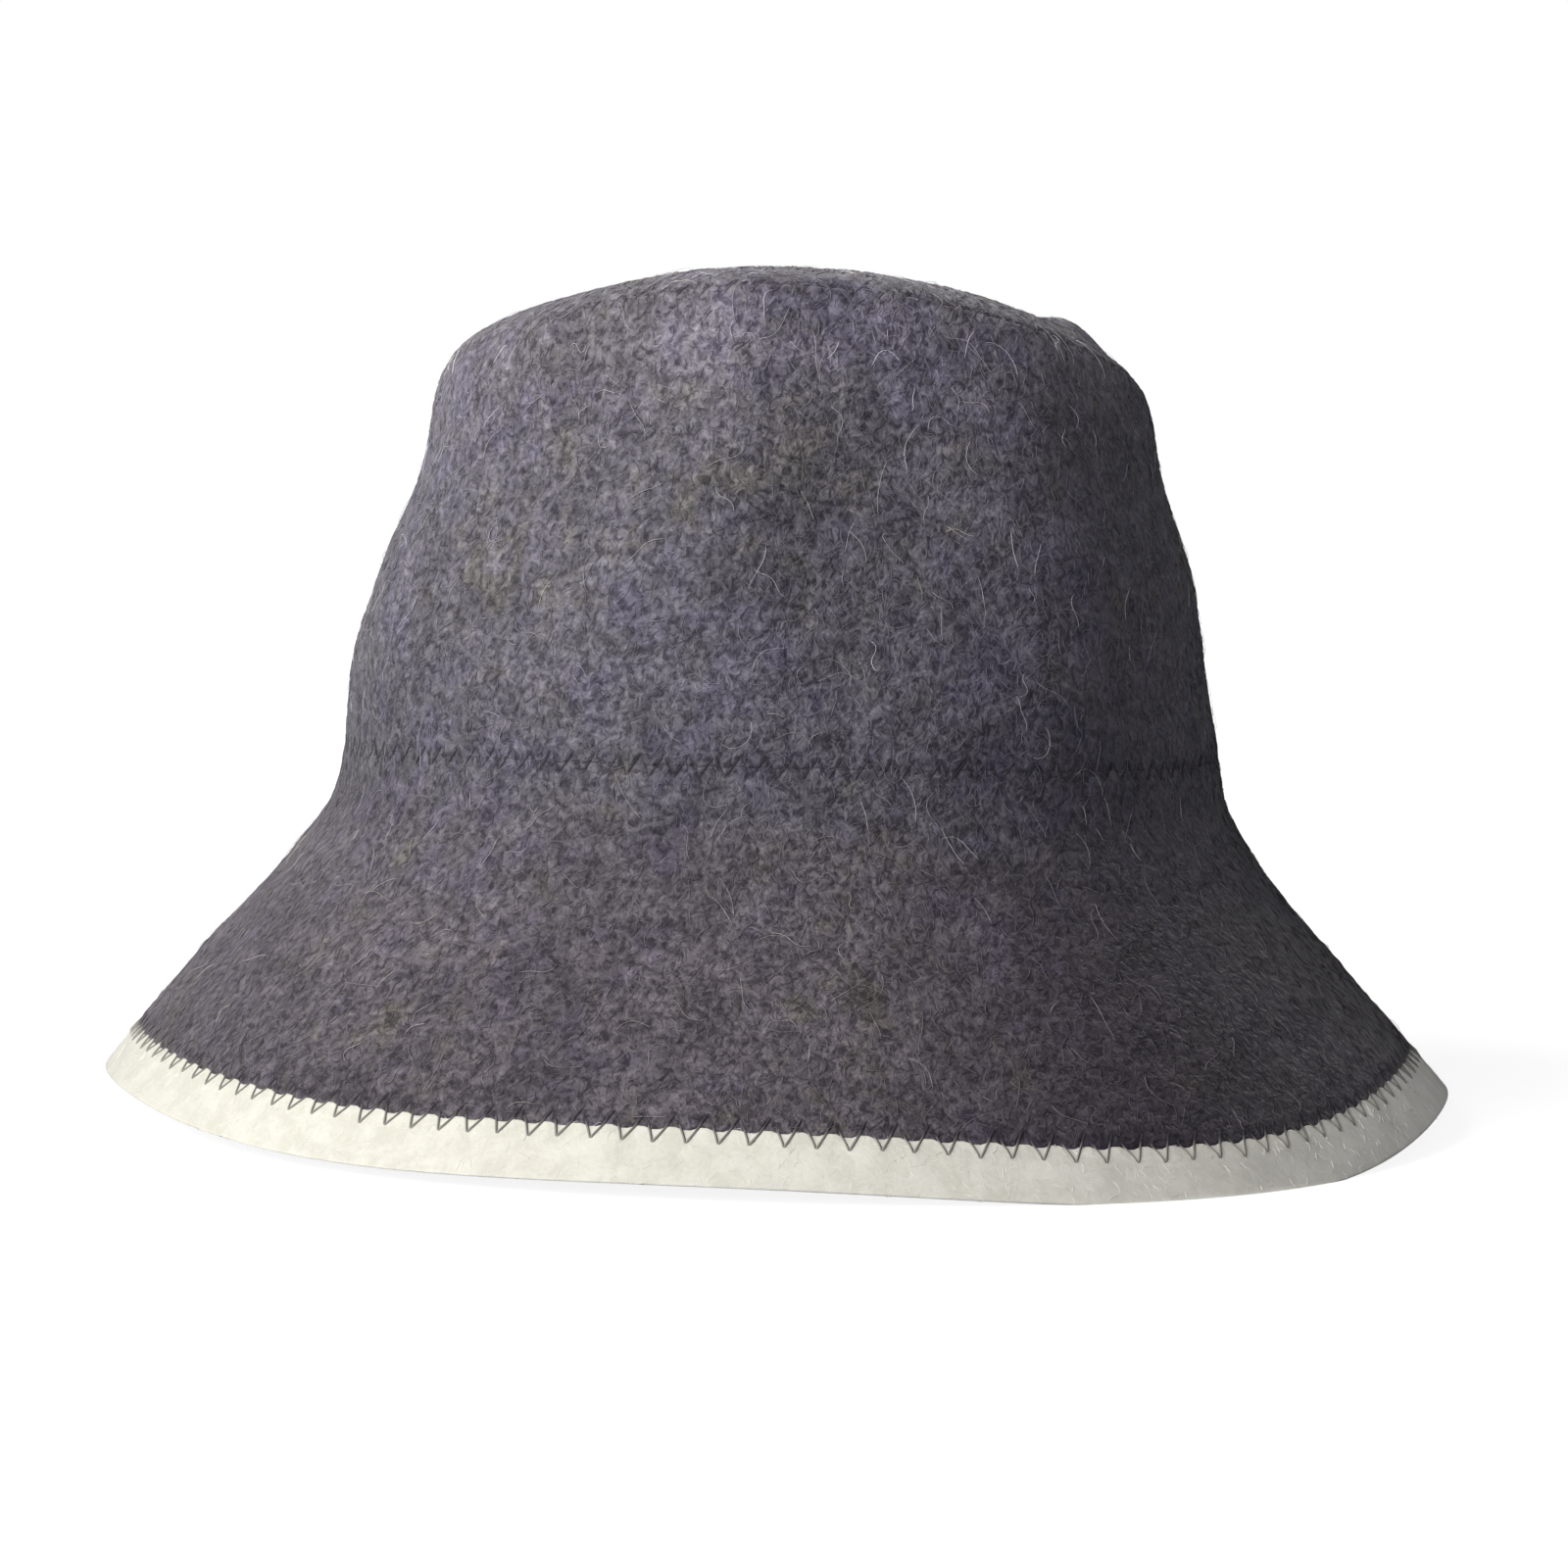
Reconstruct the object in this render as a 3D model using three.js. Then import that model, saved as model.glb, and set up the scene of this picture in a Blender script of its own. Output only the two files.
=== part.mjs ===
// Sauna hat: a felt crown of an oval top panel and a side wall, a flared brim, and a light
// band along the brim's edge. All four are cut from thick felt and butted edge to edge,
// so the pieces follow one smooth outer surface and share its thickness.
//
// Millimetres, +Z up, the hat resting on its brim. X runs from its left to its right as
// seen from the front, and the front faces -Y. The origin is the centre of the footprint,
// on the surface that the hat rests on.

import * as THREE from "three";
import { mergeVertices } from "three/addons/utils/BufferGeometryUtils.js";

// Driving dimensions
const FELT = 3; // thickness of every panel
const SEAM_GAP = 0.3; // clearance between two butted panels
const BAND_WIDTH = 13; // visible height of the light edge band, along the felt
const BRIM_SEAM = 93; // where the brim meets the crown, along the felt from the hem
const TOP_SEAM = 181; // where the crown's side meets the top panel
const TOP_CENTRE = 258; // middle of the top panel
const CUT_SLANT = 2.2; // start of the inner face above the outer one, so the hem's cut is level
const AROUND = 72; // facets around the hat

// The outer surface, section by section. along is the distance from the hem, measured on
// the felt, and height is above the resting surface at the hat's two sides. The four
// reaches are from the axis to the left, right, front and back, and lift raises the
// front and back over the sides.
const SECTIONS = table(["along", "height", "left", "right", "front", "back", "lift"], {
  hem: [0, 3.4, 147.5, 148, 148.5, 147, 0],
  band_seam: [BAND_WIDTH, 13.5, 140, 139.5, 140.5, 138.5, 0],
  brim_low: [38, 32.5, 125, 124, 126, 124, 0],
  brim_high: [66, 53.5, 106.5, 106.5, 110, 109, 0],
  brim_root: [84, 68.5, 97, 98, 101.5, 101.5, 1],
  brim_seam: [BRIM_SEAM, 77.5, 95.5, 96.5, 99.5, 100, 2],
  crown_low: [108, 92.5, 94.5, 93.5, 98, 99, 2.5],
  crown_mid: [132, 115.5, 88.3, 89.8, 93, 95, 4],
  crown_high: [156, 138, 79.5, 82.4, 87.5, 90, 7.5],
  shoulder: [176, 154.5, 76.5, 78.5, 83.5, 86, 14],
  top_seam: [TOP_SEAM, 159, 74.5, 76, 81.5, 84, 16.8],
  top_rim: [187, 163, 71, 71, 75.5, 78, 15.8],
  top_slope: [205, 171.6, 54, 56, 56, 58, 8.2],
  top_dome: [235, 179.4, 24, 26, 27, 28, 1],
  top_centre: [TOP_CENTRE, 181, 0, 0, 0, 0, 0],
});

// Soft folds and dents, each fading out round its own centre. azimuth is in degrees from
// +X towards +Y, wide is its half width in degrees and tall its half length in
// millimetres. out pushes the felt away from the axis, and up raises it.
const FOLDS = table(["azimuth", "along", "wide", "tall", "out", "up"], {
  right_front_foot: [-53, 0, 26, 50, 8, -4.8],
  left_front_wave: [-125, 0, 22, 40, 2.5, -1.4],
  back_right_foot: [62, 0, 26, 40, 2, -3.9],
  back_left_foot: [145, 0, 26, 40, 2, -3.9],
  left_rise: [192, 0, 26, 30, -0.8, 3],
  right_rise: [-12, 0, 22, 30, 0, 3.8],
  crown_crease: [-99, 132, 11, 46, 3.2, 0],
  crown_hollow: [-77, 132, 14, 44, -2, 0],
  crown_corner: [-53, 130, 11, 46, 3.2, 0],
  crown_left_hollow: [-126, 132, 16, 46, -2, 0],
  crown_left_corner: [-154, 130, 12, 44, 1.6, 0],
  top_dip: [-24, 207, 22, 12, 0, -3.2],
  right_shoulder: [-8, 199, 25, 9, 0, 4.2],
  left_shoulder: [180, 190, 40, 20, 0, 1.4],
});

// Finishes
const GREY_FELT = new THREE.MeshStandardMaterial({ color: 0x66626a, roughness: 1, metalness: 0 });
const WHITE_FELT = new THREE.MeshStandardMaterial({ color: 0xe6e3d8, roughness: 1, metalness: 0 });

// Rows of numbers become objects with named columns.
function table(columns, rows) {
  return Object.values(rows).map((row) =>
    Object.fromEntries(columns.map((column, i) => [column, row[i]])));
}

// A smooth curve through one column of the sections, with no overshoot between them.
function curveThrough(column) {
  const at = SECTIONS.map((section) => section.along);
  const value = SECTIONS.map((section) => section[column]);
  const rise = at.slice(1).map((x, i) => (value[i + 1] - value[i]) / (x - at[i]));
  const slope = at.map((x, i) => {
    if (i === 0 || i === at.length - 1) {
      return rise[Math.max(i - 1, 0)];
    }
    const before = at[i] - at[i - 1];
    const after = at[i + 1] - at[i];
    if (rise[i - 1] * rise[i] <= 0) {
      return 0;
    }
    const low = 2 * after + before;
    const high = after + 2 * before;
    return (low + high) / (low / rise[i - 1] + high / rise[i]);
  });
  return (along) => {
    const i = THREE.MathUtils.clamp(at.findLastIndex((x) => x <= along), 0, at.length - 2);
    const width = at[i + 1] - at[i];
    const t = THREE.MathUtils.clamp((along - at[i]) / width, 0, 1);
    return (1 + 2 * t) * (1 - t) ** 2 * value[i] + t * (1 - t) ** 2 * width * slope[i]
      + t * t * (3 - 2 * t) * value[i + 1] + t * t * (t - 1) * width * slope[i + 1];
  };
}

const height = curveThrough("height");
const lift = curveThrough("lift");
const reach = {
  left: curveThrough("left"),
  right: curveThrough("right"),
  front: curveThrough("front"),
  back: curveThrough("back"),
};

// How strongly a fold acts at a place on the felt, from 0 to 1.
function foldWeight(fold, azimuth, along) {
  const turn = THREE.MathUtils.radToDeg(azimuth) - fold.azimuth;
  const away = THREE.MathUtils.euclideanModulo(turn + 180, 360) - 180;
  return Math.exp(-((away / fold.wide) ** 2) - ((along - fold.along) / fold.tall) ** 2);
}

// A point of the hat's outer surface.
function outerSurface(azimuth, along) {
  const cos = Math.cos(azimuth);
  const sin = Math.sin(azimuth);
  const sideways = cos > 0 ? reach.right(along) : reach.left(along);
  const depthways = sin > 0 ? reach.back(along) : reach.front(along);
  const point = new THREE.Vector3(
    sideways * cos, depthways * sin, height(along) + lift(along) * sin * sin);
  for (const fold of FOLDS) {
    const weight = foldWeight(fold, azimuth, along);
    point.x += fold.out * weight * cos;
    point.y += fold.out * weight * sin;
    point.z += fold.up * weight;
  }
  return point;
}

// The direction straight out of the felt, from two short steps on the surface.
function outward(azimuth, along) {
  const step = 0.5;
  const turn = 0.01;
  if (along > TOP_CENTRE - step) {
    return new THREE.Vector3(0, 0, 1);
  }
  const up = outerSurface(azimuth, along + step);
  up.sub(outerSurface(azimuth, Math.max(along - step, 0)));
  const sideways = outerSurface(azimuth + turn, along);
  sideways.sub(outerSurface(azimuth - turn, along));
  return sideways.cross(up).normalize();
}

// A point inside the felt, depth below its outer face. At its lowest places the hem
// settles on the surface that the hat rests on, and lies flat there.
function inFelt(azimuth, { along, depth }) {
  const point = outerSurface(azimuth, along);
  point.addScaledVector(outward(azimuth, along), -depth);
  point.z = Math.max(point.z, 0);
  return point;
}

// Evenly spaced places along the felt, at one depth.
function stations(from, to, count, depth) {
  return Array.from({ length: count + 1 }, (unused, i) => (
    { along: from + (to - from) * i / count, depth }));
}

// A wall of felt. A plain ring is lathed through the stations of its section, and each of
// its points is then carried to its place in the hat.
function feltPiece(name, section, material) {
  const profile = section.map(({ along, depth }) => new THREE.Vector2(FELT - depth, along));
  const wall = new THREE.LatheGeometry(profile, AROUND);
  const points = wall.getAttribute("position");
  for (let i = 0; i < points.count; i++) {
    const azimuth = 2 * Math.PI * (Math.floor(i / section.length) % AROUND) / AROUND;
    const point = inFelt(azimuth, section[i % section.length]);
    points.setXYZ(i, point.x, point.y, point.z);
  }
  const mesh = new THREE.Mesh(closed(wall), material);
  mesh.name = name;
  return mesh;
}

// The same surface with its shared points merged and its empty triangles left out.
function closed(geometry) {
  geometry.deleteAttribute("normal");
  geometry.deleteAttribute("uv");
  const merged = mergeVertices(geometry, 1e-3);
  const index = merged.getIndex().array;
  const faces = [];
  for (let i = 0; i < index.length; i += 3) {
    const [a, b, c] = index.slice(i, i + 3);
    if (a !== b && b !== c && c !== a) {
      faces.push(a, b, c);
    }
  }
  merged.setIndex(faces);
  merged.computeVertexNormals();
  return merged;
}

// A ring of felt between two places along it: up the outer face and down the inner one.
function ring(name, from, to, rows, material) {
  const low = from + SEAM_GAP / 2;
  const high = to - SEAM_GAP / 2;
  const outside = stations(low, high, rows, 0);
  const inside = stations(high, low, rows, FELT);
  return feltPiece(name, [...outside, ...inside, outside[0]], material);
}

// The light band, whose lower edge is cut level so that it can rest flat.
function edgeBand() {
  const high = BAND_WIDTH - SEAM_GAP / 2;
  const outside = stations(0, high, 2, 0);
  const inside = stations(high, CUT_SLANT, 2, FELT);
  return feltPiece("edge_band", [...outside, ...inside, outside[0]], WHITE_FELT);
}

// The oval panel on top, closed at its centre.
function crownTop() {
  const low = TOP_SEAM + SEAM_GAP / 2;
  const inside = stations(TOP_CENTRE, low, 8, FELT);
  const outside = stations(low, TOP_CENTRE, 8, 0);
  return feltPiece("crown_top", [...inside, ...outside], GREY_FELT);
}

const hat = new THREE.Group();
hat.add(
  edgeBand(),
  ring("brim", BAND_WIDTH, BRIM_SEAM, 9, GREY_FELT),
  ring("crown_side", BRIM_SEAM, TOP_SEAM, 10, GREY_FELT),
  crownTop(),
);

// The footprint's centre becomes the origin.
const middle = new THREE.Box3().setFromObject(hat, true).getCenter(new THREE.Vector3());
hat.position.set(-middle.x, -middle.y, 0);

export default hat;
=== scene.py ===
import math

import bmesh
import bpy
import numpy as np
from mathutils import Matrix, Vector, noise


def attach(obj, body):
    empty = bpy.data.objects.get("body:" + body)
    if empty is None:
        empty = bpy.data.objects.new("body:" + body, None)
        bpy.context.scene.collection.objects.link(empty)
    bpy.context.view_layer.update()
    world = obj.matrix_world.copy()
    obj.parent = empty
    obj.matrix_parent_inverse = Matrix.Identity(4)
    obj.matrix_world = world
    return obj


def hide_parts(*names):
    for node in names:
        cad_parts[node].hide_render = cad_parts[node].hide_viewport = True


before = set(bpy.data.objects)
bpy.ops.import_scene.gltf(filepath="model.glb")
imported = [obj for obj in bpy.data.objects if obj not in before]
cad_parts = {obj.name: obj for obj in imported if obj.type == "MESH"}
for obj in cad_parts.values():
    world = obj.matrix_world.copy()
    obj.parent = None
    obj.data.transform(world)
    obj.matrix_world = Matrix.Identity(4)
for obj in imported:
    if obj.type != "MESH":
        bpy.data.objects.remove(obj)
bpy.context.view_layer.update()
mm = 0.001
fullTurn = 2 * math.pi
print("frame loaded")

# The hat's form, in millimetres, as the frame has it. along is the distance from the hem,
# measured on the felt; the four reaches are from the axis to the left, right, front, back.
hatForm = {
    "felt": 3,
    "bandWidth": 13,
    "brimSeam": 93,
    "topSeam": 181,
    "topCentre": 258,
    "cutSlant": 2.2,
    "cadFacets": 72,
    "sectionColumns": ("along", "height", "left", "right", "front", "back", "lift"),
    "sections": (
        (0, 3.4, 147.5, 148, 148.5, 147, 0),  # hem
        (13, 13.5, 140, 139.5, 140.5, 138.5, 0),  # band seam
        (38, 32.5, 125, 124, 126, 124, 0),  # low on the brim
        (66, 53.5, 106.5, 106.5, 110, 109, 0),  # high on the brim
        (84, 68.5, 97, 98, 101.5, 101.5, 1),  # root of the brim
        (93, 77.5, 95.5, 96.5, 99.5, 100, 2),  # brim seam
        (108, 92.5, 94.5, 93.5, 98, 99, 2.5),  # low on the crown
        (132, 115.5, 88.3, 89.8, 93, 95, 4),  # middle of the crown
        (156, 138, 79.5, 82.4, 87.5, 90, 7.5),  # high on the crown
        (176, 154.5, 76.5, 78.5, 83.5, 86, 14),  # shoulder
        (181, 159, 74.5, 76, 81.5, 84, 16.8),  # top seam
        (187, 163, 71, 71, 75.5, 78, 15.8),  # rim of the top panel
        (205, 171.6, 54, 56, 56, 58, 8.2),  # slope of the top panel
        (235, 179.4, 24, 26, 27, 28, 1),  # dome of the top panel
        (258, 181, 0, 0, 0, 0, 0),  # centre of the top panel
    ),
    "foldColumns": ("azimuth", "along", "wide", "tall", "out", "up"),
    "folds": (
        (-53, 0, 26, 50, 8, -4.8),  # right front foot
        (-125, 0, 22, 40, 2.5, -1.4),  # left front wave
        (62, 0, 26, 40, 2, -3.9),  # back right foot
        (145, 0, 26, 40, 2, -3.9),  # back left foot
        (192, 0, 26, 30, -0.8, 3),  # left rise
        (-12, 0, 22, 30, 0, 3.8),  # right rise
        (-99, 132, 11, 46, 3.2, 0),  # crown crease
        (-77, 132, 14, 44, -2, 0),  # crown hollow
        (-53, 130, 11, 46, 3.2, 0),  # crown corner
        (-126, 132, 16, 46, -2, 0),  # crown left hollow
        (-154, 130, 12, 44, 1.6, 0),  # crown left corner
        (-24, 207, 22, 12, 0, -3.2),  # dip in the top
        (-8, 199, 25, 9, 0, 4.2),  # right shoulder
        (180, 190, 40, 20, 0, 1.4),  # left shoulder
    ),
}
sections = dict(zip(hatForm["sectionColumns"], np.array(hatForm["sections"], float).T))
folds = [dict(zip(hatForm["foldColumns"], row)) for row in hatForm["folds"]]


def curveThrough(column):
    # a smooth curve through one column of the sections, with no overshoot
    at, value = sections["along"], sections[column]
    width = np.diff(at)
    rise = np.diff(value) / width
    slope = np.zeros(len(at))
    slope[0], slope[-1] = rise[0], rise[-1]
    for i in range(1, len(at) - 1):
        if rise[i - 1] * rise[i] > 0:
            low = 2 * width[i] + width[i - 1]
            high = width[i] + 2 * width[i - 1]
            slope[i] = (low + high) / (low / rise[i - 1] + high / rise[i])

    def curve(along):
        i = np.clip(np.searchsorted(at, along, side="right") - 1, 0, len(at) - 2)
        t = np.clip((along - at[i]) / width[i], 0, 1)
        start = (1 + 2 * t) * (1 - t) ** 2 * value[i] + t * (1 - t) ** 2 * width[i] * slope[i]
        end = t * t * (3 - 2 * t) * value[i + 1] + t * t * (t - 1) * width[i] * slope[i + 1]
        return start + end

    return curve


curves = {column: curveThrough(column) for column in hatForm["sectionColumns"][1:]}


def bareSurface(azimuth, along):
    # points of the outer surface in millimetres, before the origin is moved to the footprint
    cos, sin = np.cos(azimuth), np.sin(azimuth)
    x = np.where(cos > 0, curves["right"](along), curves["left"](along)) * cos
    y = np.where(sin > 0, curves["back"](along), curves["front"](along)) * sin
    z = curves["height"](along) + curves["lift"](along) * sin * sin
    for fold in folds:
        away = (np.degrees(azimuth) - fold["azimuth"] + 180) % 360 - 180
        weight = np.exp(-(away / fold["wide"]) ** 2 - ((along - fold["along"]) / fold["tall"]) ** 2)
        x = x + fold["out"] * weight * cos
        y = y + fold["out"] * weight * sin
        z = z + fold["up"] * weight
    return np.stack([x, y, z], -1)


def footprintCentre():
    azimuth = np.arange(hatForm["cadFacets"]) * fullTurn / hatForm["cadFacets"]
    hem = bareSurface(azimuth, np.zeros(hatForm["cadFacets"]))
    centre = (hem.min(0) + hem.max(0)) / 2
    return np.array([centre[0], centre[1], 0])


hatCentre = footprintCentre()


def outerSurface(azimuth, along):
    return bareSurface(azimuth, along) - hatCentre


def outward(azimuth, along):
    # the direction straight out of the felt
    step, turn = 0.5, 0.01
    along = np.minimum(along, hatForm["topCentre"] - step)
    up = outerSurface(azimuth, along + step) - outerSurface(azimuth, np.maximum(along - step, 0))
    sideways = outerSurface(azimuth + turn, along) - outerSurface(azimuth - turn, along)
    normal = np.cross(sideways, up)
    return normal / np.linalg.norm(normal, axis=-1, keepdims=True)


# How the sewn felt differs from a plain sheet: soft lumps, and seams that pull it in.
feltRelief = {
    "lumps": ((14, 0.3), (5, 0.14)),  # size and height in millimetres
    "flatHem": 6,  # the lumps fade out over this length towards the hem
    "seamReach": 1.9,
    "pucker": 0.4,  # share of the pull that comes and goes with the stitches
}
# lean is the steep leg's share of a stitch. threads and proud, the thread's radius and how
# far it lies above the grey felt, are for the steep leg and the slanted one. On light felt
# the thread lies proud and looks paler, from white fibres on it and painted bounce light.
# The seeds are for the outside and the inside.
seams = {
    "band_seam": {
        "along": 13, "count": 144, "tall": 6.8, "lean": 0.36, "pull": 0.3,
        "threads": (0.26, 0.28), "proud": (-0.24, -0.08), "lightBelow": 1, "scallop": 0.4,
        "seeds": (168, 162),
    },
    "brim_seam": {
        "along": 93, "count": 118, "tall": 4.2, "lean": 0.4, "pull": 0.2,
        "threads": (0.12, 0.17), "proud": (-0.07, -0.03), "lightBelow": 0, "scallop": 0.15,
        "seeds": (168, 162),
    },
    "top_seam": {
        "along": 181, "count": 92, "tall": 3.2, "lean": 0.4, "pull": 0.12,
        "threads": (0.08, 0.1), "proud": (-0.05, -0.04), "lightBelow": 0, "scallop": 0.1,
        "seeds": (161, 155),
    },
}


def lumpHeights(azimuth, along, inside):
    points = outerSurface(azimuth, along) + np.where(inside, 40, 0)[..., None]
    heights = np.zeros(np.shape(along))
    for size, height in feltRelief["lumps"]:
        values = [noise.noise(Vector(point / size)) for point in points.reshape(-1, 3)]
        heights += height * np.reshape(values, heights.shape)
    return heights * np.clip(along / feltRelief["flatHem"], 0, 1)


def seamPull(azimuth, along):
    pull = np.zeros(np.shape(along))
    for seam in seams.values():
        near = np.exp(-((along - seam["along"]) / feltRelief["seamReach"]) ** 2)
        beat = 1 - feltRelief["pucker"] * np.cos(azimuth * seam["count"])
        pull += seam["pull"] * near * beat
    return pull


def seamScallops(azimuth, along):
    # the edges' shift along the felt: down at a stitch's foot, and up between two of them
    shift = np.zeros(np.shape(along))
    for seam in seams.values():
        near = np.exp(-((along - seam["along"]) / feltRelief["seamReach"]) ** 2)
        phase = azimuth * seam["count"] - fullTurn * seam["lean"]
        shift -= seam["scallop"] * near * np.cos(phase)
    return shift


def feltPoints(azimuth, along, depth):
    # points in the lumpy felt, in metres: depth is below its outer face, and the hem lies flat
    inside = depth > hatForm["felt"] / 2
    raised = lumpHeights(azimuth, along, inside) * np.where(inside, -1, 1)
    sink = seamPull(azimuth, along) * (1 - 2 * depth / hatForm["felt"])
    points = outerSurface(azimuth, along)
    points = points + outward(azimuth, along) * (raised - depth - sink)[..., None]
    points[..., 2] = np.maximum(points[..., 2], 0)
    return points * mm


def keepMesh(name, bm):
    mesh = bpy.data.meshes.new(name)
    bm.to_mesh(mesh)
    bm.free()
    for face in mesh.polygons:
        face.use_smooth = True
    piece = bpy.data.objects.new(name, mesh)
    bpy.context.scene.collection.objects.link(piece)
    return piece


# Felt panels, as grids wrapped round the hat and round their own section
panelCut = {
    "around": 576,
    "gap": 0.02,  # between two butted edges
    "seamEdge": 0.07,  # how far in from its cut edge the felt begins to round
    "hemEdge": 0.5,
    "squareness": 0.6,
    "steps": 6,
    "crowd": 0.7,  # rows crowd towards the edges, where the seams are
}


def crowded(start, end, rows):
    t = np.linspace(0, 1, rows + 1)
    t = t - panelCut["crowd"] * np.sin(fullTurn * t) / fullTurn
    return start + (end - start) * t


def roundEdge(at, bulge, slant=0):
    # a cut edge from the outer to the inner face
    angle = np.pi * np.arange(1, panelCut["steps"]) / panelCut["steps"]
    cos = np.sign(np.cos(angle)) * np.abs(np.cos(angle)) ** panelCut["squareness"]
    share = (1 - cos) / 2
    along = at + bulge * np.sin(angle) ** panelCut["squareness"] + slant * share
    return list(zip(along, hatForm["felt"] * share))


def ringSection(low, high, rows, lowEdge, slant=0):
    start = low + panelCut["gap"] / 2 + lowEdge
    end = high - panelCut["gap"] / 2 - panelCut["seamEdge"]
    outside = [(along, 0) for along in crowded(start, end, rows)]
    inside = [(along, hatForm["felt"]) for along in crowded(end, start + slant, rows)]
    cut = roundEdge(start, -lowEdge, slant)[::-1]
    section = outside + roundEdge(end, panelCut["seamEdge"]) + inside + cut
    return section + [section[0]]


def topSection(low, rows):
    start = low + panelCut["gap"] / 2 + panelCut["seamEdge"]
    outside = [(along, 0) for along in np.linspace(start, hatForm["topCentre"], rows + 1)]
    inside = [(along, hatForm["felt"]) for along, depth in reversed(outside)]
    return inside + roundEdge(start, -panelCut["seamEdge"])[::-1] + outside


def feltPanel(name, section):
    bm = bmesh.new()
    places = bm.verts.layers.float_vector.new("felt_place")
    rows = len(section) - 1
    bmesh.ops.create_grid(bm, x_segments=panelCut["around"], y_segments=rows, size=1)
    place = np.array([vert.co for vert in bm.verts])
    turn = np.rint((place[:, 0] + 1) / 2 * panelCut["around"]) % panelCut["around"]
    azimuth = turn / panelCut["around"] * fullTurn
    row = np.rint((place[:, 1] + 1) / 2 * rows).astype(int)
    along, depth = np.array(section)[row].T
    along = along + seamScallops(azimuth, along)
    inFelt = np.stack([np.cos(azimuth), np.sin(azimuth), along], 1)
    for vert, point, place in zip(bm.verts, feltPoints(azimuth, along, depth), inFelt):
        vert.co = point
        vert[places] = Vector(place)
    bmesh.ops.remove_doubles(bm, verts=bm.verts, dist=2e-6)
    bmesh.ops.recalc_face_normals(bm, faces=bm.faces)
    return keepMesh(name, bm)


hem, bandTop, brimTop, crownTop = 0, hatForm["bandWidth"], hatForm["brimSeam"], hatForm["topSeam"]
panelSections = {
    "crown_top_felt": topSection(crownTop, 44),
    "crown_side_felt": ringSection(brimTop, crownTop, 52, panelCut["seamEdge"]),
    "brim_felt": ringSection(bandTop, brimTop, 50, panelCut["seamEdge"]),
    "edge_band_felt": ringSection(hem, bandTop, 12, panelCut["hemEdge"], hatForm["cutSlant"]),
}
panels = {name: feltPanel(name, section) for name, section in panelSections.items()}
for panel in panels.values():
    print(panel.name, len(panel.data.polygons), "faces")


# Strands: one small tapered or plain tube, repeated along many short paths
def strandTemplate(sides, rings, tapered):
    bm = bmesh.new()
    start = bmesh.ops.create_circle(bm, cap_ends=False, segments=sides, radius=1)
    loop = start["verts"]
    edges = list({e for v in loop for e in v.link_edges})
    for ring in range(1, rings):
        new = bmesh.ops.extrude_edge_only(bm, edges=edges)["geom"]
        loop = [g for g in new if isinstance(g, bmesh.types.BMVert)]
        edges = [g for g in new if isinstance(g, bmesh.types.BMEdge)]
        bmesh.ops.translate(bm, verts=loop, vec=(0, 0, 1))
        edges = [e for e in edges if all(abs(v.co.z - ring) < 0.1 for v in e.verts)]
    for end in (0, rings - 1):
        tip = [v for v in bm.verts if abs(v.co.z - end) < 0.1]
        if tapered:
            bmesh.ops.pointmerge(bm, verts=tip, merge_co=(0, 0, end))
        else:
            bmesh.ops.contextual_create(bm, geom=tip)
    bmesh.ops.recalc_face_normals(bm, faces=bm.faces)
    bmesh.ops.triangulate(bm, faces=bm.faces)
    bm.verts.index_update()
    points = np.array([v.co for v in bm.verts])
    faces = np.array([[v.index for v in f.verts] for f in bm.faces])
    bm.free()
    return points, faces


def layStrands(name, template, centres, normals, radii, tones):
    # centres is strand, ring, xyz; each ring of the template is set square to its path
    points, faces = template
    ahead = np.gradient(centres, axis=1)
    sides = np.cross(ahead, normals)
    sides /= np.maximum(np.linalg.norm(sides, axis=-1, keepdims=True), 1e-12)
    over = np.cross(sides, ahead)
    over /= np.maximum(np.linalg.norm(over, axis=-1, keepdims=True), 1e-12)
    ring = np.rint(points[:, 2]).astype(int)
    across = sides[:, ring] * points[:, 0, None] + over[:, ring] * points[:, 1, None]
    placed = centres[:, ring] + across * radii[:, ring, None]
    strands = len(centres)
    allFaces = faces[None] + (np.arange(strands) * len(points))[:, None, None]
    mesh = bpy.data.meshes.new(name)
    mesh.from_pydata(placed.reshape(-1, 3), [], allFaces.reshape(-1, 3).tolist())
    mesh.polygons.foreach_set("use_smooth", [True] * len(mesh.polygons))
    mesh.attributes.new("tone", "FLOAT", "POINT").data.foreach_set("value", tones[:, ring].ravel())
    mesh.update()
    piece = bpy.data.objects.new(name, mesh)
    bpy.context.scene.collection.objects.link(piece)
    print(name, strands, "strands,", len(mesh.polygons), "faces")
    return piece


# Zigzag stitches of the three seams, on both faces of the felt. Each has a steep leg down
# and a slanted one up, and both end in the felt.
stitchShape = {
    "sides": 5,
    "rings": 9,
    "dive": 0.7,  # how deep a leg's ends go into the felt
    "diveShare": 0.07,  # share of the leg that each dive takes
    "proudOnLight": 0.07,
    "wander": 0.16,  # how unevenly the needle went in
    "drift": 0.03,  # the same along the seam, as a share of a stitch
    "paling": 1.2,  # length over which a thread turns pale, with white fibres and painted bounce light, where it meets light felt
}


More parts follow.
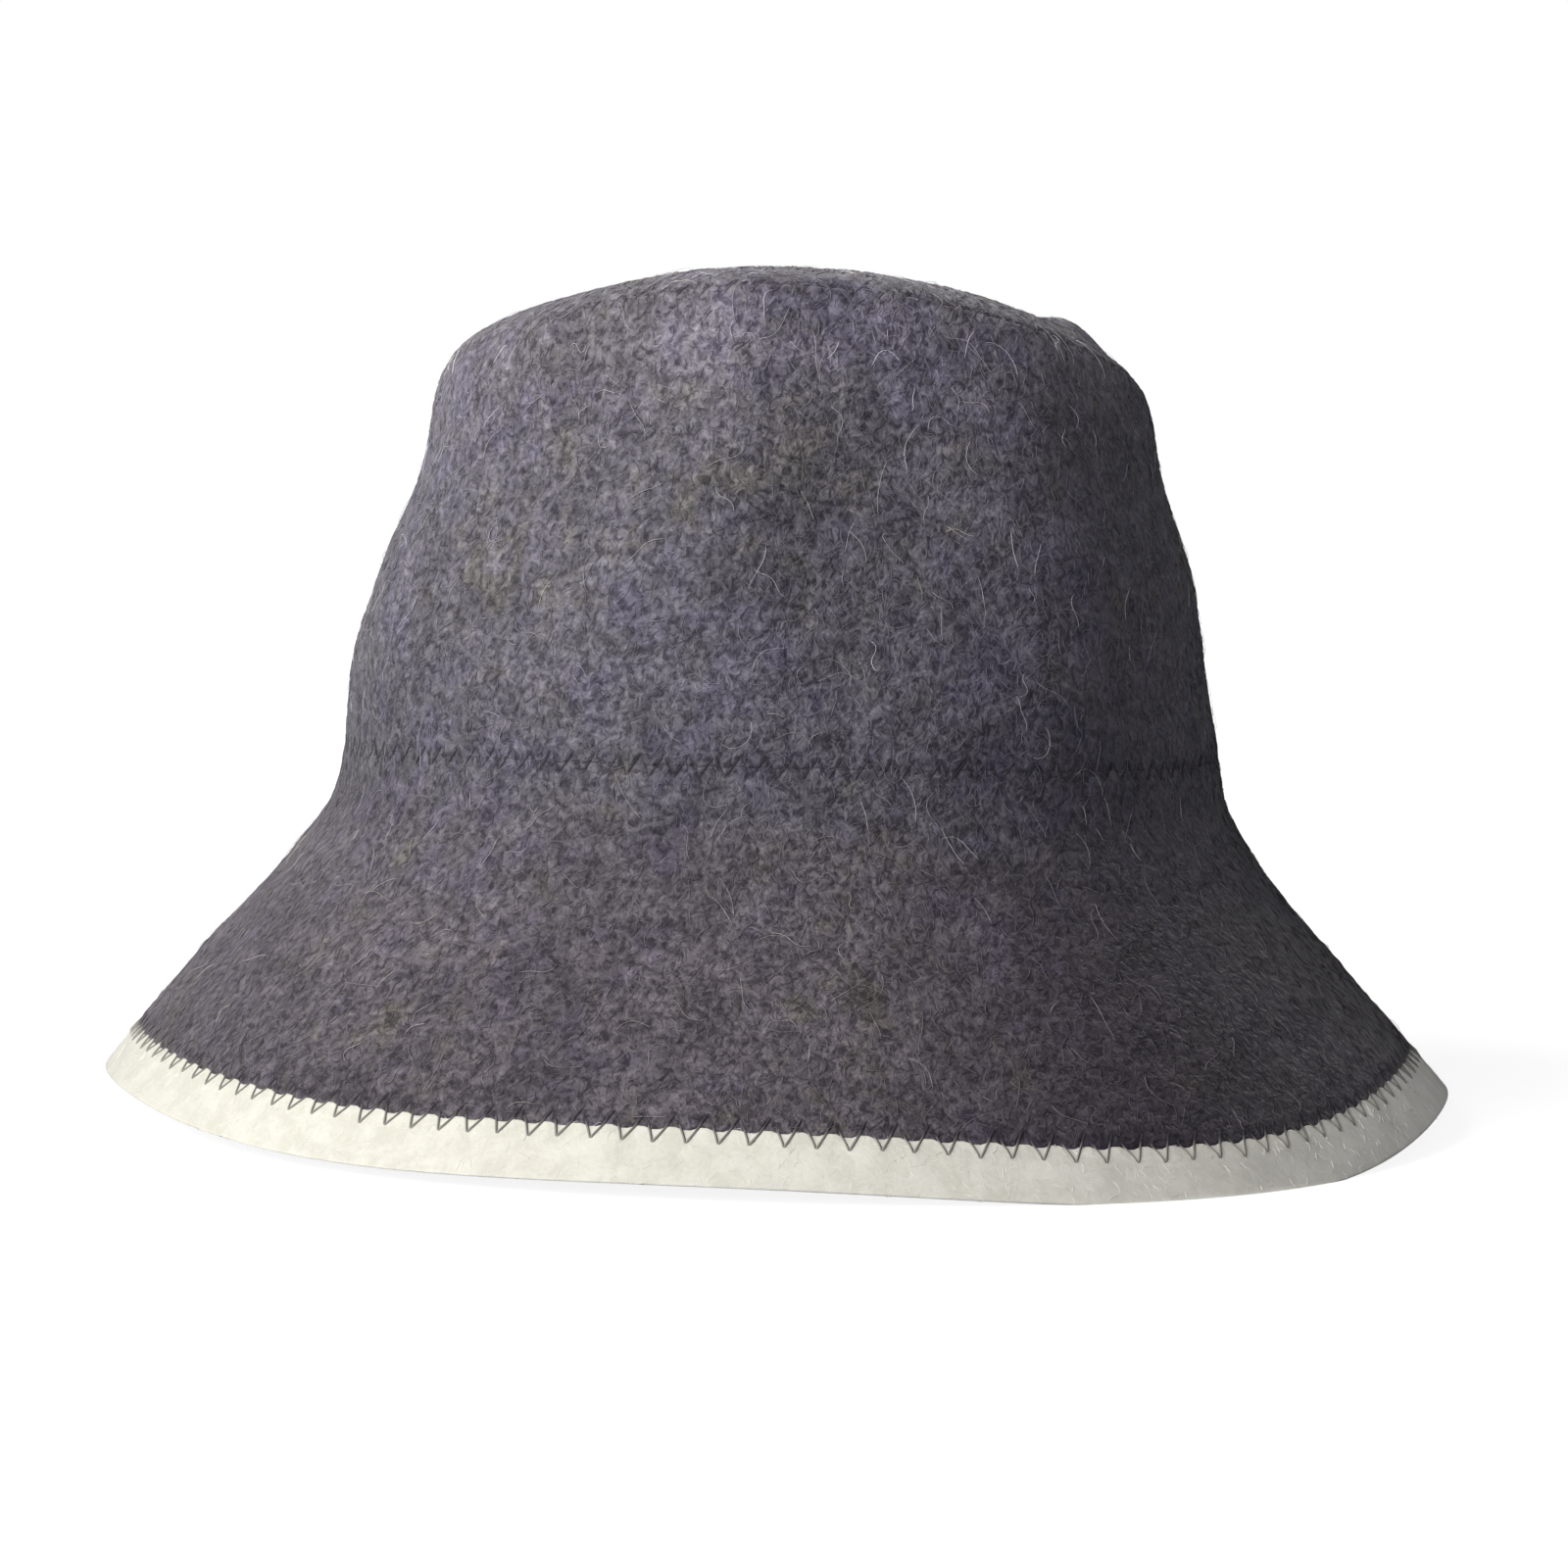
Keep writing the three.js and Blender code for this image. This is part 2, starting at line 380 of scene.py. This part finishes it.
def sewSeam(name, seam, inside):
    generator = np.random.default_rng(seam["seeds"][inside])
    template = strandTemplate(stitchShape["sides"], stitchShape["rings"], False)
    count = seam["count"]
    top = seam["tall"] / 2 + generator.normal(0, stitchShape["wander"], count)
    foot = generator.normal(0, stitchShape["wander"], count) - seam["tall"] / 2
    peak = np.arange(count) + generator.normal(0, stitchShape["drift"], count)
    valley = np.arange(count) + seam["lean"] + generator.normal(0, stitchShape["drift"], count)
    start = np.concatenate([peak, valley])[:, None]
    end = np.concatenate([valley, np.append(peak[1:], peak[0] + count)])[:, None]
    low = np.concatenate([top, foot])[:, None]
    high = np.concatenate([foot, np.roll(top, -1)])[:, None]
    t = 0.5 - np.cos(np.linspace(0, np.pi, stitchShape["rings"])) / 2
    azimuth = (start + (end - start) * t) * fullTurn / count
    along = seam["along"] + low + (high - low) * t
    # where the thread meets light felt it turns pale: white fibres on it, and painted bounce light
    onLight = seam["lightBelow"] * np.clip(0.5 + (seam["along"] - along) / stitchShape["paling"], 0, 1)
    proud = np.repeat(seam["proud"], count)[:, None]
    proud = proud + (stitchShape["proudOnLight"] - proud) * onLight
    toEnd = np.minimum(t, 1 - t) / stitchShape["diveShare"]
    depth = stitchShape["dive"] * np.clip(1 - toEnd, 0, 1) ** 2 - proud
    centres = feltPoints(azimuth, along, hatForm["felt"] - depth if inside else depth)
    radii = np.repeat(seam["threads"], count)[:, None] * np.ones(stitchShape["rings"])
    return layStrands(name, template, centres, outward(azimuth, along), radii * mm, onLight)


threads = []
for seamName, seam in seams.items():
    threads.append(sewSeam(seamName + "_thread_outside", seam, 0))
    threads.append(sewSeam(seamName + "_thread_inside", seam, 1))

# Wool hairs lying on the felt, in millimetres: a mat of short ones and a few long strays
hairKinds = {
    "pale_hairs": {
        "count": 10800, "from": 14, "to": 252, "long": (2.0, 5.5), "thick": 0.07, "rings": 5,
        "bend": 0.2, "wave": 0.25, "above": (0.03, 0.2), "slot": "grey_felt", "seed": 11,
    },
    "mid_hairs": {
        "count": 10800, "from": 14, "to": 255, "long": (1.8, 4.5), "thick": 0.1, "rings": 5,
        "bend": 0.3, "wave": 0.3, "above": (0.0, 0.12), "slot": "grey_felt", "seed": 12,
    },
    "dark_hairs": {
        "count": 7000, "from": 14, "to": 255, "long": (1.4, 3.6), "thick": 0.11, "rings": 5,
        "bend": 0.3, "wave": 0.3, "above": (-0.02, 0.06), "slot": "grey_felt", "seed": 13,
    },
    "stray_hairs": {
        "count": 1100, "from": 16, "to": 250, "long": (4, 12), "thick": 0.055, "rings": 10,
        "bend": 0.12, "wave": 0.5, "above": (0.15, 0.6), "slot": "grey_felt", "seed": 14,
    },
    "white_hairs": {
        "count": 1100, "from": 0.5, "to": 12.5, "long": (1.5, 4.0), "thick": 0.06, "rings": 5,
        "bend": 0.3, "wave": 0.3, "above": (0.0, 0.04), "slot": "white_felt", "seed": 15,
    },
}

hairSpread = {
    "tries": 4,  # places tried for each hair, of which the ones near the axis are thinned out
    "widest": 160,  # a little more than the hat's farthest reach
    "nearest": 4,  # a hair's turn round the axis is worked out no nearer to it than this
    "archPower": 0.7,
    "thickness": (0.7, 1.25),  # shares of a kind's own
    "sides": 3,
}


def growHairs(name, kind):
    generator = np.random.default_rng(kind["seed"])
    tries = kind["count"] * hairSpread["tries"]
    azimuth = generator.uniform(0, fullTurn, tries)
    along = generator.uniform(kind["from"], kind["to"], tries)
    reach = np.hypot(*outerSurface(azimuth, along)[:, :2].T)
    thinned = generator.uniform(0, hairSpread["widest"], tries) < reach
    kept = np.flatnonzero(thinned)[:kind["count"]]
    azimuth, along = azimuth[kept], along[kept]
    count, rings = len(kept), kind["rings"]
    long = generator.uniform(*kind["long"], count)
    heading = generator.uniform(0, fullTurn, count)
    bend = generator.normal(0, kind["bend"], count)
    wave = generator.normal(0, kind["wave"], count)
    phase = generator.uniform(0, fullTurn, count)
    azimuths, alongs = [azimuth], [along]
    for t in np.arange(1, rings) / (rings - 1):
        turned = heading + bend * long * t + wave * np.sin(fullTurn * t + phase)
        reach = np.hypot(*outerSurface(azimuths[-1], alongs[-1])[:, :2].T)
        reach = np.maximum(reach, hairSpread["nearest"])
        azimuths.append(azimuths[-1] + np.sin(turned) * long / (rings - 1) / reach)
        upward = alongs[-1] + np.cos(turned) * long / (rings - 1)
        alongs.append(np.clip(upward, kind["from"] - 1, kind["to"] + 1))
    azimuth, along = np.stack(azimuths, 1), np.stack(alongs, 1)
    arch = np.sin(np.pi * np.linspace(0, 1, rings)) ** hairSpread["archPower"]
    above = generator.uniform(*kind["above"], count)[:, None] * arch
    centres = feltPoints(azimuth, along, -above)
    thick = kind["thick"] * generator.uniform(*hairSpread["thickness"], count)[:, None]
    thick = thick * np.ones(rings)
    template = strandTemplate(hairSpread["sides"], rings, True)
    tones = generator.uniform(0, 1, count)[:, None] * np.ones(rings)
    return layStrands(name, template, centres, outward(azimuth, along), thick * mm, tones)


hairs = {name: growHairs(name, kind) for name, kind in hairKinds.items()}


# Materials
class Wire:  # one socket of a finish, so that shader maths reads as Python
    def __init__(self, finish, socket):
        self.finish, self.socket = finish, socket

    def maths(self, operation, *values):
        return self.finish.add("ShaderNodeMath", {"operation": operation}, dict(enumerate(values)))

    def __add__(self, other):
        return self.maths("ADD", self, other)

    def __radd__(self, other):
        return self.maths("ADD", other, self)

    def __sub__(self, other):
        return self.maths("SUBTRACT", self, other)

    def __rsub__(self, other):
        return self.maths("SUBTRACT", other, self)

    def __mul__(self, other):
        return self.maths("MULTIPLY", self, other)

    def __rmul__(self, other):
        return self.maths("MULTIPLY", other, self)

    def __mod__(self, other):
        return self.maths("FLOORED_MODULO", self, other)

    def __abs__(self):
        return self.maths("ABSOLUTE", self)

    def larger(self, other):
        return self.maths("MAXIMUM", self, other)

    def clipped(self):
        return self.finish.add("ShaderNodeClamp", {}, {0: self})


class Finish:  # a material while it is mixed
    def __init__(self, name):
        self.material = bpy.data.materials.new(name)
        self.material.use_nodes = True
        self.tree = self.material.node_tree
        self.tree.nodes.clear()
        self.place = self.add("ShaderNodeTexCoord", {}, {}, "Object")

    def add(self, kind, settings, inputs, output=0):
        node = self.tree.nodes.new(kind)
        for key, value in settings.items():
            setattr(node, key, value)
        for key, value in inputs.items():
            if isinstance(value, Wire):
                self.tree.links.new(value.socket, node.inputs[key])
            else:
                node.inputs[key].default_value = value
        return Wire(self, node.outputs[output]) if node.outputs else None

    def noise(self, scale, detail=2.0, rough=0.5, place=None, output="Fac"):
        inputs = {"Vector": place or self.place, "Scale": scale, "Detail": detail, "Roughness": rough}
        return self.add("ShaderNodeTexNoise", {}, inputs, output)

    def vector(self, operation, *values):
        return self.add("ShaderNodeVectorMath", {"operation": operation}, dict(enumerate(values)))

    def parts(self, vector):
        node = self.add("ShaderNodeSeparateXYZ", {}, {0: vector}).socket.node
        return [Wire(self, output) for output in node.outputs]

    def mixed(self, share, first, second):
        return self.add("ShaderNodeMix", {"data_type": "RGBA"}, {0: share, 6: first, 7: second}, 2)

    def spread(self, value, low, high):
        inputs = {"Value": value, "From Min": low, "From Max": high}
        return self.add("ShaderNodeMapRange", {"interpolation_type": "SMOOTHSTEP"}, inputs)

    def felted(self, colour, roughness, extra):
        settings = {"Base Color": colour, "Roughness": roughness, **extra}
        return self.shown(self.add("ShaderNodeBsdfPrincipled", {}, settings))

    def shown(self, shader):
        self.add("ShaderNodeOutputMaterial", {}, {"Surface": shader})
        return self.material


def linear(red, green, blue):
    # a colour read off on a screen, from 0 to 255, as shaders want it
    parts = [c / 255 for c in (red, green, blue)]
    return tuple(c / 12.92 if c < 0.04045 else ((c + 0.055) / 1.055) ** 2.4 for c in parts) + (1,)


def fibreLines(finish, scale, place):
    # thin curved lines where a warped noise crosses its middle value
    value = finish.noise(scale, 1.5, 0.5, place)
    return (1 - abs(value - 0.5) * 12).larger(0)


def warped(finish, scale, reach):
    warp = finish.noise(scale, 2, 0.6, None, "Color")
    return finish.vector("MULTIPLY_ADD", warp, (reach, reach, reach), finish.place)


# How strongly the stitches of each seam press a soft dimple into the grey felt, which is bumped in and
# darkened there as painted shade
dimples = {
    "halfWidth": 0.85,
    "steepShare": 0.75,
    "strengths": {"band_seam": 0.95, "brim_seam": 1.1, "top_seam": 0.5},
    "ends": (0.56, 0.42),  # they fade out past a stitch's ends, in shares of its height
    "fade": 260,  # how fine the noise is by which some of them fade
    "fadeReach": (0.25, 0.6),
}


def legPress(finish, off, run, tall):
    # off is the distance over or under a leg's line, as a share of the stitch's height
    return finish.spread(abs(off) * (tall * run / math.hypot(run, tall)), dimples["halfWidth"], 0)


def stitchDimples(finish):
    place = finish.add("ShaderNodeAttribute", {"attribute_name": "felt_place"}, {}, "Vector")
    cos, sin, along = finish.parts(place)
    azimuth = sin.maths("ARCTAN2", sin, cos)
    pressed = []
    for name, strength in dimples["strengths"].items():
        seam = seams[name]
        tall, lean = seam["tall"], seam["lean"]
        ring = outerSurface(np.linspace(0, fullTurn, 361), np.full(361, float(seam["along"])))
        pitch = np.linalg.norm(np.diff(ring, axis=0), axis=1).sum() / seam["count"]
        phase = (azimuth * (seam["count"] / fullTurn)) % 1
        rise = (along - seam["along"]) * (1 / tall) + 0.5
        steep = legPress(finish, 1 - phase * (1 / lean) - rise, lean * pitch, tall)
        slanted = legPress(finish, (phase - lean) * (1 / (1 - lean)) - rise, (1 - lean) * pitch, tall)
        within = finish.spread(abs(rise - 0.5), *dimples["ends"])
        pressed.append(slanted.larger(steep * dimples["steepShare"]) * within * strength)
    fade = finish.spread(finish.noise(dimples["fade"], 2, 0.6), *dimples["fadeReach"])
    return sum(pressed) * fade


greyFelt = {
    "deep": linear(62, 58, 65),
    "middle": linear(118, 113, 120),
    "bright": linear(158, 153, 157),
    "warp": (260, 0.0042),  # how fine the felt's swirls are, and how far they reach in metres
    "clumps": 540,  # how fine the clumps, the grain and the fibres are
    "grain": 1200,
    "fibres": (480, 590),
    "fibreShift": (0.31, 0.17, 0.05),
    "plain": (0.99, 0.99, 1.015, 1),  # tints, by which a colour is multiplied
    "violet": (0.94, 0.925, 1.07, 1),
    "olive": (1.03, 1.035, 0.9, 1),
    "patches": (30, 120),  # how fine the broad and the small patches are
    "clouds": (20, 130),
    "hem": (1.045, 1, 0.975, 1),
    "crown": (0.97, 1, 1.01, 1),
    # painted light: the top panel is made much lighter, as light falls on it from above and grazes it
    "top": (1.31, 1.34, 1.31, 1),
    "hemToCrown": (0.04, 0.08),  # heights between which the tints change, in metres
    "crownToTop": (0.128, 0.168),
    "brimLevel": 0.745,  # the brim is darker than the crown
    # painted shade: between these heights the crown darkens down to the brim's level, as in the crease
    # above the brim seam
    "brimToCrown": (0.072, 0.1),
    "paintedShadeSide": (1, -0.2, 0),  # painted shade: towards this side the colour is darker and cooler, as on the side turned away from the light
    "paintedShadeReach": (0.02, 0.1),
    "paintedShadeShift": 0.015,  # how much further the crown stays free of the painted shade than the hem does
    "paintedShadeTint": (1.04, 1, 1.11, 1),
    "paintedShadeHem": 0.6,  # how much darker the painted shade makes the hem and the crown there
    "paintedShadeCrown": 0.4,
}


# the grey wool's tints and patches, with painted shade on the side away from the light and in the
# crease above the brim seam, and painted light on the top panel
def greyTintAndPaintedLight(finish):
    broad = finish.noise(greyFelt["patches"][0], 2, 0.5)
    small = finish.noise(greyFelt["patches"][1], 2, 0.6)
    patch = broad * 0.45 + small * 0.55
    tint = finish.mixed(finish.spread(patch, 0.5, 0.36), greyFelt["plain"], greyFelt["violet"])
    tint = finish.mixed(finish.spread(patch, 0.53, 0.68), tint, greyFelt["olive"])
    height = finish.parts(finish.place)[2]
    rise = finish.spread(height, *greyFelt["hemToCrown"])
    paintedTopLight = finish.spread(height, *greyFelt["crownToTop"])
    panel = finish.mixed(rise, greyFelt["hem"], greyFelt["crown"])
    tint = finish.vector("MULTIPLY", tint, finish.mixed(paintedTopLight, panel, greyFelt["top"]))
    cloud = finish.spread(finish.noise(greyFelt["clouds"][0], 2, 0.5), 0.3, 0.7)
    wisp = finish.spread(finish.noise(greyFelt["clouds"][1], 3, 0.6), 0.3, 0.7)
    # painted shade: the colour darkens and cools towards the side turned away from the key light
    inputs = {0: finish.place, 1: greyFelt["paintedShadeSide"]}
    towardsPaintedShade = finish.add("ShaderNodeVectorMath", {"operation": "DOT_PRODUCT"}, inputs, 1)
    deep = finish.spread(towardsPaintedShade - rise * greyFelt["paintedShadeShift"], *greyFelt["paintedShadeReach"])
    tint = finish.vector("MULTIPLY", tint, finish.mixed(deep, (1, 1, 1, 1), greyFelt["paintedShadeTint"]))
    brimLevel, paintedShadeHem = greyFelt["brimLevel"], greyFelt["paintedShadeHem"]
    # painted shade in the crease above the brim seam, on top of the brim's darker colour
    level = brimLevel + finish.spread(height, *greyFelt["brimToCrown"]) * (1 - brimLevel)
    shade = level * (1 - deep * (paintedShadeHem - rise * (paintedShadeHem - greyFelt["paintedShadeCrown"])))
    return finish.vector("MULTIPLY", tint, (0.62 + cloud * 0.24 + wisp * 0.36) * shade)


def greyFeltFinish():
    finish = Finish("grey_felt_wool")
    bent = warped(finish, *greyFelt["warp"])
    clumps = finish.spread(finish.noise(greyFelt["clumps"], 2.5, 0.6, bent), 0.3, 0.72)
    grain = finish.spread(finish.noise(greyFelt["grain"], 2, 0.6, bent), 0.28, 0.72)
    moved = finish.vector("ADD", bent, greyFelt["fibreShift"])
    coarse, fine = greyFelt["fibres"]
    lines = fibreLines(finish, coarse, bent).larger(fibreLines(finish, fine, moved))
    dimpleDentAndShade = stitchDimples(finish)
    tone = (clumps * 0.56 + grain * 0.13 + lines * 0.17).clipped()
    colour = finish.mixed(finish.spread(tone, 0, 0.6), greyFelt["deep"], greyFelt["middle"])
    colour = finish.mixed(finish.spread(tone, 0.5, 1), colour, greyFelt["bright"])
    colour = finish.vector("MULTIPLY", colour, greyTintAndPaintedLight(finish))
    # painted shade in the stitches' dimples
    colour = finish.vector("MULTIPLY", colour, 1 - dimpleDentAndShade * 0.5)
    height = clumps * 0.9 + grain * 0.05 + lines * 0.1 - dimpleDentAndShade * 0.8
    normal = finish.add("ShaderNodeBump", {}, {"Strength": 0.75, "Distance": 0.0005, "Height": height})
    gloss = {"Sheen Weight": 0.28, "Sheen Roughness": 0.45, "Specular IOR Level": 0.15}
    return finish.felted(colour, 0.92 + tone * 0.08, {"Normal": normal, **gloss})


whiteFelt = {
    "warp": (260, 0.004),
    "clumps": 200,
    "grain": 1100,
    "fibres": 560,
    "shade": linear(216, 214, 201),
    "middle": linear(229, 227, 215),
    "bright": linear(238, 237, 227),
}


def whiteFeltFinish():
    finish = Finish("white_felt_wool")
    bent = warped(finish, *whiteFelt["warp"])
    clumps = finish.spread(finish.noise(whiteFelt["clumps"], 3, 0.6, bent), 0.3, 0.72)
    grain = finish.spread(finish.noise(whiteFelt["grain"], 2, 0.6, bent), 0.3, 0.7)
    lines = fibreLines(finish, whiteFelt["fibres"], bent)
    tone = (clumps * 0.55 + grain * 0.2 + lines * 0.12).clipped()
    colour = finish.mixed(finish.spread(tone, 0, 0.6), whiteFelt["shade"], whiteFelt["middle"])
    colour = finish.mixed(finish.spread(tone, 0.5, 1), colour, whiteFelt["bright"])
    height = clumps * 0.6 + grain * 0.15 + lines * 0.1
    normal = finish.add("ShaderNodeBump", {}, {"Strength": 0.3, "Distance": 0.0004, "Height": height})
    gloss = {"Sheen Weight": 0.5, "Sheen Roughness": 0.5, "Specular IOR Level": 0.15}
    return finish.felted(colour, 0.9 + tone * 0.1, {"Normal": normal, **gloss})


def strandFinish(name, dark, light, roughness, tinted):
    finish = Finish(name)
    share = finish.add("ShaderNodeAttribute", {"attribute_name": "tone"}, {}, "Fac")
    colour = finish.mixed(share, dark, light)
    if tinted:
        # hairs on grey felt take its tints, with the painted shade and the painted top light
        colour = finish.vector("MULTIPLY", colour, greyTintAndPaintedLight(finish))
    gloss = {"Sheen Weight": 0.1, "Specular IOR Level": 0.25}
    return finish.felted(colour, roughness + share * 0.05, gloss)


strandColours = {
    "pale_hairs": (linear(125, 121, 126), linear(158, 154, 157)),
    "mid_hairs": (linear(112, 107, 114), linear(136, 131, 134)),
    "dark_hairs": (linear(66, 61, 69), linear(92, 88, 94)),
    "stray_hairs": (linear(166, 161, 163), linear(242, 238, 233)),
    "white_hairs": (linear(238, 236, 226), linear(250, 248, 241)),
}
greyWool = greyFeltFinish()
whiteWool = whiteFeltFinish()
# the thread's dark tone is its own colour darkened by painted shade where it sinks into grey felt; its
# pale tone holds white fibres and painted bounce light
threadFinish = strandFinish("grey_thread_twist", linear(50, 46, 54), linear(146, 144, 136), 0.75, False)
for name, piece in hairs.items():
    tinted = name != "white_hairs"
    piece.data.materials.append(strandFinish(name + "_wool", *strandColours[name], 0.8, tinted))
for thread in threads:
    thread.data.materials.append(threadFinish)
panelColumns = ("node", "slot", "material", "flat", "area")
panelUses = {  # flat is the box round the panel's flat cut, and area that of the cut, in metres
    "crown_top_felt": ("crown_top", "grey_felt", greyWool, (0.165, 0.165), 0.0206),
    "crown_side_felt": ("crown_side", "grey_felt", greyWool, (0.167, 0.576), 0.0507),
    "brim_felt": ("brim", "grey_felt", greyWool, (0.295, 0.523), 0.0603),
    "edge_band_felt": ("edge_band", "white_felt", whiteWool, (0.013, 0.915), 0.0119),
}
for name, row in panelUses.items():
    panel, use = panels[name], dict(zip(panelColumns, row))
    panel.data.materials.append(use["material"])
    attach(panel, "root")
    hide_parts(use["node"])
for name, piece in hairs.items():
    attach(piece, "root")
for thread in threads:
    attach(thread, "root")
print("materials ready")

# Studio: pale floor, white surround, and a wide soft light from the left with two weaker ones
studio = {
    "floorSize": 8.0,
    "floorColour": (0.4, 0.4, 0.4, 1),
    "floorGlow": 0.87,
    "paperRoughness": 0.9,
    "glow": 0.065,
    "glowColour": (1, 0.98, 1.06, 1),
    "lampColumns": ("turn", "height", "power", "width", "colour"),
    "lamps": {  # turn is in degrees from the camera's side towards the right
        "key_light": (-66, 31, 2.75, 46, (0.99, 0.99, 0.915)),
        "front_light": (-24, 3, 2.5, 40, (1.0, 0.98, 1.08)),
        "rim_light": (136, 14, 0.55, 50, (0.98, 1, 0.96)),
    },
}


def makeFloor():
    bm = bmesh.new()
    bmesh.ops.create_grid(bm, x_segments=1, y_segments=1, size=studio["floorSize"] / 2)
    floor = keepMesh("studio_floor", bm)
    finish = Finish("studio_paper")
    paper = {"Base Color": studio["floorColour"], "Roughness": studio["paperRoughness"],
             "Emission Color": (1, 1, 1, 1), "Emission Strength": studio["floorGlow"]}
    floor.data.materials.append(finish.shown(finish.add("ShaderNodeBsdfPrincipled", {}, paper)))
    floor.visible_diffuse = False
    floor.visible_glossy = False


def makeSurround():
    bm = bmesh.new()
    bmesh.ops.create_uvsphere(bm, u_segments=48, v_segments=24, radius=studio["floorSize"] / 2)
    bmesh.ops.reverse_faces(bm, faces=bm.faces)
    surround = keepMesh("studio_surround", bm)
    finish = Finish("studio_white")
    glow = {"Color": (1, 1, 1, 1), "Strength": 1.0}
    surround.data.materials.append(finish.shown(finish.add("ShaderNodeEmission", {}, glow)))
    for kind in ("diffuse", "glossy", "transmission", "shadow"):
        setattr(surround, "visible_" + kind, False)


def makeLights():
    for name, row in studio["lamps"].items():
        lamp = dict(zip(studio["lampColumns"], row))
        light = bpy.data.lights.new(name, "SUN")
        light.energy = lamp["power"]
        light.angle = math.radians(lamp["width"])
        light.color = lamp["colour"]
        source = bpy.data.objects.new(name, light)
        bpy.context.scene.collection.objects.link(source)
        turn, rise = math.radians(lamp["turn"]), math.radians(lamp["height"])
        level = math.cos(rise)
        towards = Vector((math.sin(turn) * level, -math.cos(turn) * level, math.sin(rise)))
        source.rotation_euler = towards.to_track_quat("Z", "Y").to_euler()
    world = bpy.data.worlds.new("studio_world")
    world.use_nodes = True
    background = world.node_tree.nodes["Background"]
    background.inputs["Color"].default_value = studio["glowColour"]
    background.inputs["Strength"].default_value = studio["glow"]
    bpy.context.scene.world = world
    bpy.context.scene.view_settings.view_transform = "Standard"


makeFloor()
makeSurround()
makeLights()

# Camera: the photograph's view, in millimetres before the origin is moved
viewpoint = {
    "frame": 1600,
    "focalPixels": 4630,
    "from": (1.0, -1000, 139.5),
    "aim": (1.0, 0, 69.3),
    "roll": 1.244,
    "sensor": 36,
}


def makeCamera():
    data = bpy.data.cameras.new("camera")
    data.sensor_width = viewpoint["sensor"]
    data.lens = viewpoint["focalPixels"] / viewpoint["frame"] * viewpoint["sensor"]
    camera = bpy.data.objects.new("camera", data)
    bpy.context.scene.collection.objects.link(camera)
    place = Vector((np.array(viewpoint["from"]) - hatCentre) * mm)
    aim = Vector((np.array(viewpoint["aim"]) - hatCentre) * mm)
    turn = (aim - place).to_track_quat("-Z", "Y").to_euler()
    turn.rotate_axis("Z", math.radians(viewpoint["roll"]))
    camera.location = place
    camera.rotation_euler = turn
    bpy.context.scene.camera = camera


makeCamera()
print("studio ready")
